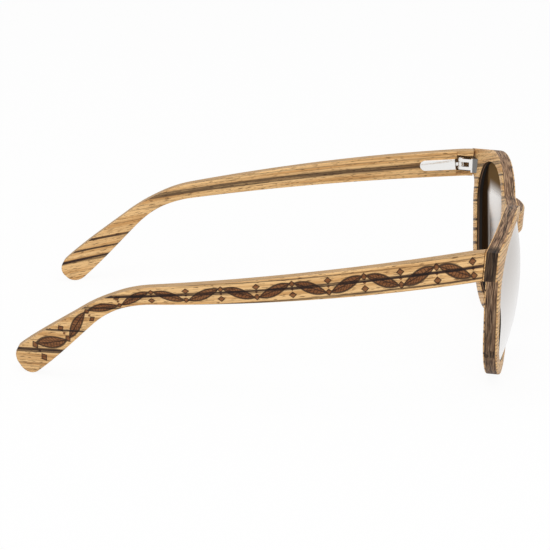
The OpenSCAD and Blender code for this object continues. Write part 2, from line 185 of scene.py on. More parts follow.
# The temple's middle line in the side view, as (rearward, up), and the bow seen from above.
SEAT_Y = sag(FRONT_W / 2, REAR_R)
HINGE_Z = -((sag(FOOT_X, WRAP_R) - SEAT_Y) * math.sin(LEAN) + (OPEN_LOW - RIM_W) * math.cos(LEAN))
CORNER = Vector((SEAT_Y + BEND_BACK, HINGE_Z - BEND_BACK * math.tan(FALL)))
TIP_Z = TIP_LOW_R + (TIP_H / 2 - TIP_LOW_R) * math.cos(HOOK_FALL)
TIP_C = Vector((CORNER.x + (CORNER.y - TIP_Z) / math.tan(HOOK_FALL), TIP_Z))
TIP_HEAD = (TIP_C + (TIP_LOW_R - TIP_TOP_R) * heading(HOOK_FALL)
            + (TIP_H / 2 - TIP_TOP_R) * upward(HOOK_FALL))
TIP_FOOT = TIP_C - (TIP_H / 2 - TIP_LOW_R) * upward(HOOK_FALL)
TANGENT_L = BEND_R * math.tan((HOOK_FALL - FALL) / 2)
RUN_START = Vector((SEAT_Y - LEAD_IN, HINGE_Z + LEAD_IN * math.tan(FALL)))
BEND_START = CORNER - TANGENT_L * heading(FALL)
BEND_END = CORNER + TANGENT_L * heading(HOOK_FALL)
BEND_C = BEND_START - BEND_R * upward(FALL)
RUN_L = (BEND_START - RUN_START).length
BEND_L = BEND_R * (HOOK_FALL - FALL)
HOOK_L = (TIP_C - BEND_END).length
WAIST_S = RUN_L + BEND_L / 2
TIP_S = RUN_L + BEND_L + HOOK_L
BOW_C = (FRONT_W / 2 - BOW_R * math.cos(FLARE), SEAT_Y + BOW_R * math.sin(FLARE))

# The hinge pin, and the circle inside which the temple's end turns clear of the front.
PIN_Y = sag(FRONT_W / 2 - TEMPLE_T, REAR_R) + HINGE_BACK
HINGE_TURN = math.asin((BOW_C[1] - PIN_Y) / (BOW_R - TEMPLE_T))
PIN_X = BOW_C[0] + (BOW_R - TEMPLE_T) * math.cos(HINGE_TURN)
TURN_R = REAR_R - math.hypot(PIN_X, REAR_R - PIN_Y) - TURN_GAP
TURN_X = TURN_R * math.sin(HINGE_TURN + math.atan2(PIN_X, REAR_R - PIN_Y))

# The middle of the footprint is the origin.
FRONT_Y = (SEAT_Y - (FRONT_T + BRIDGE_RISE + SEAT_Y) * math.cos(LEAN)
           - BRIDGE_TOP * math.sin(LEAN))
MIDDLE_Y = (FRONT_Y + TIP_HEAD.x + TIP_TOP_R) / 2

# Camera, fitted to the photograph: place and aim in millimetres, roll in radians.
CAMERA_AT = Vector((-742.58, SEAT_Y + 27.833 - MIDDLE_Y, HINGE_Z + 182.52))
CAMERA_AIM = Vector((0.0, SEAT_Y + 63.803 - MIDDLE_Y, HINGE_Z - 24.14))
CAMERA_ROLL = 0.02269
CAMERA_LENS = 157.09
SENSOR_W = 36.0


def color_setting(name, surface, default):
    return FloatVectorProperty(name=name, description="Colour of the " + surface, subtype="COLOR",
                               size=3, min=0, max=1, default=default)


def length_setting(name, description, low, high, default):
    """A length in metres."""
    return FloatProperty(name=name, description=description, subtype="DISTANCE", unit="LENGTH",
                         min=low, max=high, default=default)


class WoodSettings(bpy.types.PropertyGroup):
    """Colours and finish of the striped wood."""

    light: color_setting("Light wood", "wood between the stripes", (0.82, 0.52, 0.235))
    warm: color_setting("Streaks", "soft brown streaks", (0.50, 0.235, 0.065))
    dark: color_setting("Stripes", "dark stripes", (0.030, 0.011, 0.005))
    pore: color_setting("Pores", "pores", (0.12, 0.048, 0.016))
    edge: color_setting("Edges", "sawn edges", (0.25, 0.14, 0.08))
    edge_dark: color_setting("Edge streaks", "dark streaks on the edges", (0.040, 0.023, 0.015))
    edge_pale: color_setting("Edge highlights", "pale lines on the edges", (0.50, 0.33, 0.20))
    # Painted shade on the walls of the lens openings, deeper beside the lenses.
    wall_shade: color_setting("Wall shade", "stained walls of the lens openings", (0.045, 0.020, 0.008))
    wall_shade_deep: color_setting("Deep wall shade", "same walls beside the lens", (0.008, 0.005, 0.003))
    burnt: color_setting("Engraving", "engraved surfaces", (0.31, 0.20, 0.15))
    edge_round: length_setting("Edge rounding", "Radius of sanded edges", 0.0001, 0.0006, 0.0004)
    leaf_pitch: length_setting("Leaf spacing", "Distance between leaves", 0.006, 0.02, 0.0105)


class LensSettings(bpy.types.PropertyGroup):
    """Colours of the lenses."""

    # The brown tint is the lens's own; on the rear face it is painted as shade under the brow and
    # along the temple side.
    tint: color_setting("Tint", "rear face at the brow", (0.165, 0.098, 0.042))
    pale: color_setting("Pale tint", "rest of the rear face", (0.80, 0.765, 0.735))
    # Painted reflection of the dark opening wall on the rear face at the temple edge.
    edge: color_setting("Painted wall reflection", "rear face at the temple edge", (0.030, 0.016, 0.007))
    mirror: color_setting("Mirror", "mirrored outer face", (0.80, 0.78, 0.765))


class MetalSettings(bpy.types.PropertyGroup):
    """Finish of the hinges."""

    steel: color_setting("Steel", "hinge metal", (0.86, 0.85, 0.83))
    edge_round: length_setting("Edge rounding", "Radius of metal edges", 0.00002, 0.0003, 0.00012)
    crown: length_setting("Housing crown", "Rise of the housing's face", 0, 0.0004, 0.00026)


class StageSettings(bpy.types.PropertyGroup):
    """Floor and light."""

    floor: color_setting("Floor", "floor", (0.97, 0.97, 0.965))
    top_power: FloatProperty(
        name="Top light", description="Power of the light above", unit="POWER",
        min=0, max=50, default=2.6)
    side_power: FloatProperty(
        name="Side light", description="Power of the light beside the camera", unit="POWER",
        min=0, max=50, default=2.2)
    sky: FloatProperty(
        name="Room light", description="Strength of the even light all round",
        min=0, max=2, default=0.62)


class SunglassesSettings(bpy.types.PropertyGroup):
    """All settings of the sunglasses."""

    wood: PointerProperty(type=WoodSettings)
    lens: PointerProperty(type=LensSettings)
    metal: PointerProperty(type=MetalSettings)
    stage: PointerProperty(type=StageSettings)


def settings():
    return bpy.context.scene.sunglasses


# Shader expressions

class Val:
    """A shader socket. Arithmetic on it adds Math nodes."""

    def __init__(self, tree, socket):
        self.tree = tree
        self.socket = socket

    def math(self, operation, *others):
        return self.tree.number(operation, self, *others)

    def __add__(self, o):
        return self.math("ADD", o)

    __radd__ = __add__

    def __sub__(self, o):
        return self.math("SUBTRACT", o)

    def __rsub__(self, o):
        return self.tree.number("SUBTRACT", o, self)

    def __mul__(self, o):
        return self.math("MULTIPLY", o)

    __rmul__ = __mul__

    def __truediv__(self, o):
        return self.math("DIVIDE", o)

    def __abs__(self):
        return self.math("ABSOLUTE")

    def most(self, *others):
        """The largest of this and the others."""
        return self.math("MAXIMUM", others[0]).most(*others[1:]) if others else self

    def step(self, low, high):
        """0 below low, 1 above high, and smooth between them."""
        return self.tree.node(
            "ShaderNodeMapRange", {"interpolation_type": "SMOOTHSTEP", "clamp": True},
            {"Value": self, "From Min": low, "From Max": high, "To Min": 0.0, "To Max": 1.0})

    def out(self, name):
        """Another output of the same node."""
        return Val(self.tree, self.socket.node.outputs[name])


class Tree:
    """The node tree of a material or world."""

    def __init__(self, owner):
        owner.use_nodes = True
        self.nodes = owner.node_tree.nodes
        self.links = owner.node_tree.links
        self.nodes.clear()

    def put(self, socket, value):
        if isinstance(value, Val):
            self.links.new(value.socket, socket)
        elif socket.type == "RGBA":
            socket.default_value = (*value[:3], 1.0)
        else:
            socket.default_value = value

    def node(self, kind, options=None, sockets=None, out=0):
        """A new node: its settings first, a ramp's stops among them, then its sockets."""
        n = self.nodes.new(kind)
        for key, value in (options or {}).items():
            if key == "stops":
                ramp = n.color_ramp
                while len(ramp.elements) < len(value):
                    ramp.elements.new(1.0)
                for element, (at, level) in zip(ramp.elements, value):
                    element.position = at
                    element.color = (level, level, level, 1.0)
            else:
                setattr(n, key, value)
        for key, value in (sockets or {}).items():
            self.put(n.inputs[key], value)
        return Val(self, n.outputs[out] if n.outputs else None)

    def number(self, operation, *values):
        return self.node("ShaderNodeMath", {"operation": operation}, dict(enumerate(values)))

    def vector(self, x, y, z):
        return self.node("ShaderNodeCombineXYZ", None, {0: x, 1: y, 2: z})

    def noise(self, x, y, z, detail=2.0):
        return self.node("ShaderNodeTexNoise", None,
                         {"Vector": self.vector(x, y, z), "Scale": 1.0, "Detail": detail})

    def blend(self, factor, a, b, how="MIX"):
        """Colour a, and b where the factor is 1."""
        return self.node("ShaderNodeMix", {"data_type": "RGBA", "blend_type": how},
                         {0: factor, 6: a, 7: b}, out=2)


class Paint(Tree):
    """A material with one Principled shader."""

    def __init__(self, name):
        self.material = bpy.data.materials.new(name)
        super().__init__(self.material)
        self.shader = self.nodes.new("ShaderNodeBsdfPrincipled")
        self.node("ShaderNodeOutputMaterial", None, {"Surface": Val(self, self.shader.outputs[0])})

    def place(self):
        """Place on the object at rest, in millimetres."""
        at = self.node("ShaderNodeTexCoord", None, None, "Object")
        split = self.node("ShaderNodeSeparateXYZ", None, {0: at})
        return [split.out(axis) * (1 / MM) for axis in "XYZ"]

    def finish(self, color, roughness, height=None, depth=0.0, **fixed):
        """Feeds the shader: colour, roughness and bump, then its other sockets by name."""
        self.put(self.shader.inputs["Base Color"], color)
        self.put(self.shader.inputs["Roughness"], roughness)
        if height is not None:
            bump = self.node("ShaderNodeBump", None,
                             {"Height": height, "Distance": depth, "Strength": 1.0})
            self.put(self.shader.inputs["Normal"], bump)
        for name, value in fixed.items():
            self.put(self.shader.inputs[name.replace("_", " ")], value)
        return self.material


# Wood

# Dark stripes across the grain: place in millimetres from the middle, half width and strength.
STRIPE_LOW, STRIPE_HIGH = -27.0, 9.0
OUTER_STRIPES = ((4.0, 0.10, 0.6), (2.9, 0.16, 0.75), (0.3, 0.42, 1.0), (-3.1, 0.26, 0.9),
                 (-6.0, 0.08, 0.45), (-10.4, 0.30, 0.95), (-13.9, 0.10, 0.5), (-17.2, 0.60, 1.0))
INNER_STRIPES = ((2.6, 0.10, 0.45), (0.0, 0.80, 0.85), (-2.7, 0.08, 0.40), (-11.0, 0.38, 0.95),
                 (-14.1, 0.28, 0.95), (-17.3, 0.58, 1.0))
REAR_STRIPES = ((0.2, 0.55, 0.75), (-4.3, 0.26, 0.95), (-7.7, 0.30, 0.95), (-10.0, 0.16, 0.8),
                (-12.3, 0.40, 0.95), (-13.6, 0.16, 0.6), (-19.1, 0.30, 0.95))
# Thin stripes show on the rear veneer below STRIPES_END. Its grain slants about RIM_X.
STRIPES_END = -14.0
RIM_X = 62.0
REAR_SLANT = 0.28
# Spacing of the thin stripes.
FACE_PITCH = 1.3
REAR_PITCH = 4.2
# Painted shade on the front's edge: the rims' feet and the end pieces are darker, each fading in.
FOOT_SHADE_UP = (-14.0, -5.0)
END_SHADE_X = (64.5, 68.0)
END_SHADE_UP = (-7.0, -3.5)
CAP_DEPTH = 4.0
# Depth of the relief on faces and edges, in metres.
GRAIN_DEPTH = 0.00008
SAWN_DEPTH = 0.00006
WOOD_FINISH = {"Specular_IOR_Level": 0.25}


def stripe_stops(stripes):
    """Stops of a ramp that is at a stripe's strength on it, and 0 between the stripes."""
    span = STRIPE_HIGH - STRIPE_LOW
    stops = []
    for at, half, strength in sorted(stripes):
        for offset, level in ((-1.4, 0.0), (-0.8, strength), (0.8, strength), (1.4, 0.0)):
            stops.append(((at + offset * half - STRIPE_LOW) / span, level))
    return stops


def stripe_mask(paint, across, stripes):
    """Strength of the listed stripes at a place across the grain."""
    level = (across - STRIPE_LOW) / (STRIPE_HIGH - STRIPE_LOW)
    return paint.node("ShaderNodeValToRGB", {"stops": stripe_stops(stripes)}, {"Fac": level})


def waved(paint, along, across, deep, seed, reach):
    """The grain's waviness: across, moved by slow and quick waves."""
    slow = paint.noise(along * 0.014 + seed, across * 0.03, deep * 0.03, 1.0) - 0.5
    quick = paint.noise(along * 0.16, across * 0.8 + seed, deep, 2.0) - 0.5
    return across + slow * reach + quick * 0.28


def striped(paint, along, across, deep, seed, stripe):
    """Colour, roughness and height of striped wood with pores, from its grain directions."""
    wood = settings().wood
    soft = paint.noise(along * 0.022, across * 0.75 + seed, deep * 0.5, 3.0)
    fibre = paint.noise(along * 0.10, across * 4.5 + seed, deep * 4.5, 3.0)
    pore = paint.noise(along * 0.40 + seed, across * 3.6, deep * 3.6, 1.0).step(0.61, 0.67)
    thin = paint.noise(along * 0.035, across * 2.2 + seed, deep * 2.2, 2.0)
    stripe = stripe * (0.62 + 0.38 * thin.step(0.36, 0.50))
    color = paint.blend(soft.step(0.42, 0.66) * 0.7, wood.light, wood.warm)
    color = paint.blend(thin.step(0.55, 0.68) * 0.5, color, wood.pore)
    color = paint.blend(pore * 0.75, color, wood.pore)
    color = paint.blend(stripe, color, wood.dark)
    tone = 0.62 + fibre * 0.80
    color = paint.blend(1.0, color, paint.vector(tone, tone, tone), "MULTIPLY")
    rough = 0.40 + pore * 0.2 + fibre * 0.12
    height = fibre * 0.25 - pore * 0.8 - stripe * 0.15
    return color, rough, height


def temple_lines(paint):
    """Distances along and across the grain, depth under the outer face, and distances along
    and across the temple's middle line."""
    x, y, z = paint.place()
    dy = y + (MIDDLE_Y - BEND_C.x)
    dz = z - BEND_C.y
    grain_u = dy * math.cos(FALL) - dz * math.sin(FALL)
    grain_v = dy * math.sin(FALL) + dz * math.cos(FALL) - BEND_R
    turn = dy.math("ARCTAN2", dz).most(FALL).math("MINIMUM", HOOK_FALL)
    sine, cosine = turn.math("SINE"), turn.math("COSINE")
    line_s = dy * cosine - dz * sine + (turn - FALL) * BEND_R
    line_v = dy * sine + dz * cosine - BEND_R
    out, back = abs(x) - BOW_C[0], y + (MIDDLE_Y - BOW_C[1])
    depth = BOW_R - (out * out + back * back).math("SQRT")
    return grain_u, grain_v, depth, line_s, line_v


def front_lines(paint):
    """Places on the front: across, up its leaning face, and depth behind its front face."""
    x, y, z = paint.place()
    dy = y + (MIDDLE_Y - SEAT_Y)
    dz = z - HINGE_Z
    back = dy * math.cos(LEAN) + dz * math.sin(LEAN) + (SEAT_Y - REAR_R)
    up = dz * math.cos(LEAN) - dy * math.sin(LEAN)
    depth = WRAP_R - (x * x + back * back).math("SQRT")
    return x, up, depth


def cap_lines(paint):
    """The same, with the depth from a level in front of the bridge cap."""
    x, up, depth = front_lines(paint)
    return x, up, depth + CAP_DEPTH


def temple_wood(name, stripes, seed, engraved):
    """Striped wood of a temple's veneer, with the engraved leaves on an outer face."""
    wood = settings().wood
    paint = Paint(name)
    grain_u, grain_v, depth, line_s, line_v = temple_lines(paint)
    wavy = waved(paint, grain_u, grain_v, depth * 0.2, seed, 1.8)
    stripe = stripe_mask(paint, wavy, stripes)
    color, rough, height = striped(paint, grain_u, grain_v, depth, seed, stripe)
    if engraved:
        fill, line = leaves(paint, line_s, line_v, wood.leaf_pitch / MM)
        burnt = paint.blend(1.0, color, wood.burnt, "MULTIPLY")
        color = paint.blend(fill, color, burnt)
        color = paint.blend(line * 0.88, color, wood.dark)
        rough = rough + fill * 0.15
        height = height - fill * 1.2 - line * 2.0
    return paint.finish(color, rough, height, GRAIN_DEPTH, **WOOD_FINISH)


# The engraved band runs over these leaves, counted from the start of the bend.
FIRST_LEAF, LAST_LEAF = -9, 4
# A leaf's tilt and half width, in half heights of the temple, and half its length, in spacings.
LEAF_TILT = 0.115
LEAF_HALF = 0.47
LEAF_REACH = 0.44
# Half lengths in millimetres and half heights of the lozenges, and their place beside the middle.
GEM_SIZE = (1.05, 0.27)
GEM_OFF = 0.50
SEED_SIZE = (0.55, 0.14)


def leaves(paint, line_s, line_v, pitch):
    """Engraved leaves with a vein, set on alternate slopes, with small lozenges between them."""
    share = (line_s + (RUN_L - LEAD_IN)) / (TIP_S - LEAD_IN)
    waist = (WAIST_S - LEAD_IN) / (TIP_S - LEAD_IN)
    taper = (share / waist).most(0.0).math("MINIMUM", 1.0) * ((END_H - WAIST_H) / 2)
    swell = share.step(waist, 1.0) * ((TIP_H - WAIST_H) / 2)
    high = line_v / (END_H / 2 - taper + swell)
    count = line_s / pitch
    cell = count.math("FRACT") - 0.5
    odd = (count.math("FLOOR") * 0.5).math("FRACT") * 4.0 - 1.0
    length = cell * pitch
    slope = high - odd * length * LEAF_TILT
    reach = LEAF_HALF * (1.0 - (length / (pitch * LEAF_REACH)).math("POWER", 2.0))
    inside = reach - abs(slope)
    fill = inside.step(0.0, 0.03)
    line = 1.0 - abs(inside).step(0.045, 0.10)
    vein = (1.0 - abs(slope).step(0.02, 0.06)) * fill
    ribs = (length * 1.1 - abs(slope) * 2.2).math("FRACT")
    rib = (1.0 - abs(ribs - 0.5).step(0.05, 0.12)) * fill * 0.8
    beside = (0.5 - abs(cell)) * pitch
    gem = 1.0 - beside / GEM_SIZE[0] - abs(abs(high) - GEM_OFF) / GEM_SIZE[1]
    gem_fill = gem.step(0.0, 0.06)
    gem_line = 1.0 - abs(gem).step(0.08, 0.22)
    seed = (1.0 - beside / SEED_SIZE[0] - abs(high) / SEED_SIZE[1]).step(0.0, 0.1)

    def band(more):
        return ((count - (FIRST_LEAF - more)).step(0.0, 0.01)
                * (LAST_LEAF + more - count).step(0.0, 0.01))

    leaf = band(0.0)
    between = band(0.15)
    fill = (fill * leaf).most(gem_fill.most(seed) * between)
    line = (line.most(vein, rib) * leaf).most(gem_line * between)
    return fill, line


def ticks(paint, x, wavy, pitch, seed):
    """Thin broken stripes at uneven distances of about the pitch."""
    count = wavy / pitch
    row = count.math("FLOOR")
    width = paint.noise(x * 0.03, row * 7.3 + seed, 0.0, 1.0)
    shift = paint.noise(row * 3.1 + seed, 4.7, 0.0, 0.0) - 0.5
    return 1.0 - abs(count.math("FRACT") - 0.5 + shift * 0.7).step(width * 0.10, width * 0.30)


def front_wood(name, seed, pitch, strength, stripes=(), slant=0.0):
    """Striped wood of the front's veneers: the grain runs across the face, and may slant down to
    both end pieces."""
    paint = Paint(name)
    x, up, depth = front_lines(paint)
    up = up + (abs(x) - RIM_X) * slant
    wavy = waved(paint, x, up, depth * 0.15, seed, 2.0)
    stripe = ticks(paint, x, wavy, pitch, seed) * strength
    if stripes:
        stripe = stripe * (STRIPES_END - up).step(0.0, 1.0)
        stripe = stripe.most(stripe_mask(paint, wavy, stripes))
    color, rough, height = striped(paint, x, up, depth, seed, stripe)
    return paint.finish(color, rough, height, GRAIN_DEPTH, **WOOD_FINISH)


def edge_wood(name, lines, thickness, seed, pale, ends=False):
    """Sawn edge through all plies: streaks along the edge, with a pale line at each face. Pale is
    how much of the light wood shows all over. With ends, the end pieces and feet get painted
    shade."""
    wood = settings().wood
    paint = Paint(name)
    a, b, depth = lines(paint)[:3]
    wobble = depth + (paint.noise(a * 0.05, b * 0.05, seed, 1.0) - 0.5) * 0.6
    streak = paint.noise(a * 0.03, b * 0.03, wobble * 1.6 + seed, 1.0)
    fine = paint.noise(a * 0.22, b * 0.22, wobble * 5.5 + seed, 3.0)
    color = paint.blend(streak.step(0.36, 0.52), wood.edge_dark, wood.edge)
    color = paint.blend(fine.step(0.50, 0.62) * 0.9, color, wood.edge_pale)
    color = paint.blend((1.0 - fine.step(0.38, 0.48)) * 0.9, color, wood.edge_dark)
    near = depth.math("MINIMUM", thickness - depth)
    light = ((1.0 - near.step(0.16, 0.32)) * 0.8).most(pale)
    color = paint.blend(light, color, wood.light)
    if ends:
        # Painted shade: darker at the rims' feet and at the end pieces.
        foot = (1.0 - b.step(*FOOT_SHADE_UP)) * 0.40
        end = abs(a).step(*END_SHADE_X) * b.step(*END_SHADE_UP) * 0.78
        tone = 1.0 - foot.most(end)
        color = paint.blend(1.0, color, paint.vector(tone, tone, tone), "MULTIPLY")
    rough = 0.50 + fine * 0.2
    height = fine * 0.6 + streak * 0.4
    return paint.finish(color, rough, height, SAWN_DEPTH, Specular_IOR_Level=0.15)


def opening_wood(name):
    """Wall of a lens opening, darkened with painted shade: brown at the rear, a pale glue line,
    black with the deepest painted shade at the lens.
    """
    wood = settings().wood
    paint = Paint(name)
    x, up, depth = front_lines(paint)
    behind = FRONT_T - depth
    grain = paint.noise(x * 0.1, up * 0.1, depth * 5.0, 2.0)
    line = 1.0 - abs(behind - 1.0).step(0.05, 0.16)
    # Painted shade on the wall, deepest beside the lens.
    color = paint.blend(behind.step(0.9, 1.3), wood.wall_shade, wood.wall_shade_deep)
    color = paint.blend(line * grain.step(0.30, 0.60), color, wood.edge)
    return paint.finish(color, 0.45 + grain * 0.2, **WOOD_FINISH)


# Glass and metal

# Zones of a lens's rear face, where each begins and is full: painted shade in the lens's brown
# under the brow, painted shade in brown along the temple side with its slanted boundary, and a
# painted reflection of the dark opening wall at the temple edge, which bends inward below
# EDGE_BEND.
LENS_BROW_SHADE = (-7.5, -1.5)
LENS_SIDE_SHADE = (49.8, 53.2)
SIDE_SLANT = 0.60
LENS_WALL_REFLECTION = (54.8, 57.4)
EDGE_BEND = -9.0
EDGE_CURVE = 0.018
# The rear face is where the normal's Y is above these values.
REAR_NORMAL = (-0.6, -0.4)
MIRROR_FADE = (-32.0, 5.0)
RUB_TONE = 0.8
RUB_DEPTH = 0.000004
# Painted shade on the plate that is let into the front.
PLATE_SHADE_TONE = 0.26


def lens_glass(name):
    """Lens with a bright mirrored face. Its rear has its brown tint painted as shade at the brow
    and the temple side, and a painted reflection of the dark opening wall at the temple edge.
    """
    lens = settings().lens
    paint = Paint(name)
    x, up, _ = front_lines(paint)
    normal = paint.node("ShaderNodeTexCoord", None, None, "Normal")
    rear = paint.node("ShaderNodeSeparateXYZ", None, {0: normal}).out("Y").step(*REAR_NORMAL)
    # Painted shade in brown under the brow and along the temple side; the edge zone is a painted
    # reflection of the dark opening wall.
    side = (abs(x) + up * SIDE_SLANT).step(*LENS_SIDE_SHADE)
    low = (EDGE_BEND - up).most(0.0)
    edge = (abs(x) + low * low * EDGE_CURVE).step(*LENS_WALL_REFLECTION)
    brown = up.step(*LENS_BROW_SHADE).most(side, edge) * rear
    mirror = paint.blend(up.step(*MIRROR_FADE) * 0.45, lens.mirror, lens.tint)
    color = paint.blend(rear, mirror, lens.pale)
    # The dark colour at the temple edge is a painted reflection of the opening wall.
    tint = paint.blend(edge, lens.tint, lens.edge)
    color = paint.blend(brown, color, tint)
    return paint.finish(color, 0.18 + brown * 0.3, Metallic=1.0 - brown, Specular_IOR_Level=0.0)


def hinge_steel(name):
    """Polished steel with faint rubbed lines. The plate that is let into the front is duller, and
    darker with painted shade.
    """
    paint = Paint(name)
    x, y, z = paint.place()
    rub = paint.noise(y * 0.6, x * 9.0, z * 12.0, 3.0)
    steel = settings().metal.steel
    color = paint.blend(rub.step(0.55, 0.75) * 0.25, steel, steel * RUB_TONE)
    plate_end = PIN_Y - PLATE_BACK - MIDDLE_Y
    plate = 1.0 - y.step(plate_end, plate_end + 0.2)
    # Painted shade darkens the plate; its higher roughness is its own duller finish.
    color = paint.blend(plate, color, steel * PLATE_SHADE_TONE)
    rough = 0.07 + rub * 0.10 + plate * 0.25
    return paint.finish(color, rough, rub, RUB_DEPTH, Metallic=1.0)


# Mesh helpers

CLOSE = 0.01
SHARP_ANGLE = math.radians(32)
BEVEL_ANGLE = math.radians(35)
ROUND_STEPS = 5
# Spacing of points on outlines, and of those inside a lens, in millimetres.
FRONT_STEP = 1.2
TEMPLE_STEP = 1.6
CAP_STEP = 0.6
HOUSING_STEP = 0.4
LENS_GRID = 1.4


def spaced(points, step):
    """The closed outline with points no further apart than step, and none twice."""
    out = []
    for a, b in zip(points, points[1:] + points[:1]):
        gap = math.dist(a, b)
        n = math.ceil(gap / step) if gap > CLOSE else 0
        out += [(a[0] + (b[0] - a[0]) * k / n, a[1] + (b[1] - a[1]) * k / n) for k in range(n)]
    return out


def mirrored(loop):
    return [(-a, b) for a, b in reversed(loop)]


def inset(points, by):
    """The outline moved inward, to the left of its way round."""
    out = []
    for a, p, b in zip(points[-1:] + points[:-1], points, points[1:] + points[:1]):
        way = Vector((b[0] - a[0], b[1] - a[1])).normalized()
        out.append((p[0] - way.y * by, p[1] + way.x * by))
    return out


def within(p, loop):
    odd = False
    for (x0, y0), (x1, y1) in zip(loop, loop[1:] + loop[:1]):
        if (y0 > p[1]) != (y1 > p[1]) and p[0] < x0 + (p[1] - y0) * (x1 - x0) / (y1 - y0):
            odd = not odd
    return odd


def filled(loops, grid):
    """Triangles that fill the outer loop round its holes: more points first, then faces."""
    edges = []
    for loop in loops:
        base = len(edges)
        edges += [(base + k, base + (k + 1) % len(loop)) for k in range(len(loop))]
    extra = []
    if grid:
        xs, ys = zip(*loops[0])
        clear = inset(loops[0], grid * 0.45)
        for i in range(int((max(xs) - min(xs)) / grid)):
            for j in range(int((max(ys) - min(ys)) / grid)):
                p = (min(xs) + (i + 0.5) * grid, min(ys) + (j + 0.5) * grid)
                if within(p, clear):
                    extra.append(p)
    points = [p for loop in loops for p in loop] + extra
    _, _, faces, origins, _, _ = delaunay_2d_cdt([Vector(p) for p in points], edges, [], 0, 1e-7)
    kept = []
    for face in faces:
        ids = [origins[k][0] for k in face]
        middle = [sum(points[k][c] for k in ids) / 3 for c in (0, 1)]
        if within(middle, loops[0]) and not any(within(middle, hole) for hole in loops[1:]):
            kept.append(ids)
    return extra, kept


def layer(name, loops, levels, place, materials, side=1, grid=0.0):
    """A sheet with the given outlines. A level is (inset, depth), where the depth may be a
    function of the place; the first and the last level are closed. All loops run anticlockwise,
    and a hole's inset is turned outward. A wall with no inset takes the second material, or in a
    hole the third."""
    def at(a, b, depth):
        x, y, z = place(a, b, depth(a, b) if callable(depth) else depth)
        return x * side, y, z

    rings = [[inset(loop, by if k == 0 else -by) for k, loop in enumerate(loops)]
             for by, _ in levels]
    count = sum(len(loop) for loop in loops)
    verts = [at(a, b, depth) for ring, (_, depth) in zip(rings, levels)
             for loop in ring for a, b in loop]
    faces, kinds = [], []
    for k in range(len(levels) - 1):
        straight = levels[k][0] == levels[k + 1][0] == 0.0
        base = k * count
        for hole, loop in enumerate(loops):
            n = len(loop)
            for i in range(n):
                j = (i + 1) % n
                faces.append((base + i, base + j, base + count + j, base + count + i))
                kinds.append((min(hole, 1) + 1) if straight else 0)
            base += n
    for k in (0, len(levels) - 1):
        extra, cap = filled(rings[k], grid)
        more = len(verts)
        verts += [at(a, b, levels[k][1]) for a, b in extra]
        faces += [[k * count + i if i < count else more + i - count for i in ids] for ids in cap]
        kinds += [0] * len(cap)
    return solid(name, verts, faces, materials, kinds)


def solid(name, verts, faces, materials=(), kinds=None):
    """A new object in the scene from points in millimetres, with its faces turned outward."""
    mesh = bpy.data.meshes.new(name)
    mesh.from_pydata([Vector(v) * MM for v in verts], [], faces)
    for material in materials:
        mesh.materials.append(material)
    if kinds:
        last = len(materials) - 1
        mesh.polygons.foreach_set("material_index", [min(kind, last) for kind in kinds])
    b = bmesh.new()
    b.from_mesh(mesh)
    bmesh.ops.recalc_face_normals(b, faces=b.faces)
    b.to_mesh(mesh)
    b.free()
    obj = bpy.data.objects.new(name, mesh)
    bpy.context.scene.collection.objects.link(obj)
    return obj


def smooth(obj):
    obj.data.shade_smooth()
    obj.data.set_sharp_from_angle(angle=SHARP_ANGLE)


def cut(obj, tools, slivers=False):
    """Takes the tools' shapes out of the object, and deletes the tools. Slivers lets the solver
    take an outline with very thin triangles."""
    for tool in tools:
        m = obj.modifiers.new("room", "BOOLEAN")
        m.operation, m.solver, m.object, m.use_self = "DIFFERENCE", "EXACT", tool, slivers
    dressed = obj.evaluated_get(bpy.context.evaluated_depsgraph_get())
    mesh = bpy.data.meshes.new_from_object(dressed)
    obj.modifiers.clear()
    obj.data = mesh
    for tool in tools:
        bpy.data.objects.remove(tool)


def seat(obj, body, node):
    """Puts a piece in a node's place, on its body."""
    smooth(obj)
    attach(obj, body)
    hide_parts(node)


def coat(node, material, width=0.0):
    """Gives a solid its finish and softens its edges."""
    obj = NODES[node]
    obj.data.materials.clear()
    obj.data.materials.append(material)
    smooth(obj)
    if width:
        m = obj.modifiers.new("soft edges", "BEVEL")
        m.width, m.segments, m.limit_method = width, 2, "ANGLE"
        m.angle_limit = BEVEL_ANGLE


def rounding(edge, depth, way):
    """Levels of a quarter-round edge that ends at the depth; way is the outward direction."""
    return [(edge * (1 - math.cos(a)), depth - way * edge * (1 - math.sin(a)))
            for a in (QUARTER * k / ROUND_STEPS for k in range(ROUND_STEPS + 1))]


# Outlines

ARC_STEPS = (16, 16, 44)
BROW_STEPS = 24
BORE_SIDES = 48


def arc(cx, cy, r, a, b, n):
    return [(cx + r * math.cos(a + (b - a) * k / n), cy + r * math.sin(a + (b - a) * k / n))
            for k in range(n + 1)]


def touch(i, j):
    """Direction of the outward normal of the line that touches circles i and j."""
    (xi, yi, ri), (xj, yj, rj) = CIRCLES[i], CIRCLES[j]
    return (math.atan2(yj - yi, xj - xi)
            - math.acos((ri - rj) / math.hypot(xj - xi, yj - yi)))


def after(a, b):
    return a + (b - a) % (2 * math.pi)


def bearing(a, b):
    return math.atan2(b[1] - a[1], b[0] - a[0])


def rim_arc(i, grow, a, b, n=0):
    cx, cy, r = CIRCLES[i]
    return arc(cx, cy, r + grow, a, after(a, b), n or ARC_STEPS[i])


def brow_end(i):
    """Direction, from the brow's middle, of the place where it meets circle i."""
    return bearing(BROW_C, CIRCLES[i])


def brow_arc(grow, a):
    """The brow from direction a to its nose end."""
    return arc(*BROW_C, BROW_R + grow, a, brow_end(1), BROW_STEPS)


def opening(grow):
    points = (rim_arc(0, grow, touch(2, 0), brow_end(0)) + brow_arc(grow, brow_end(0))
              + rim_arc(1, grow, brow_end(1), touch(1, 2))
              + rim_arc(2, grow, touch(1, 2), touch(2, 0)))
    return spaced(points, FRONT_STEP)


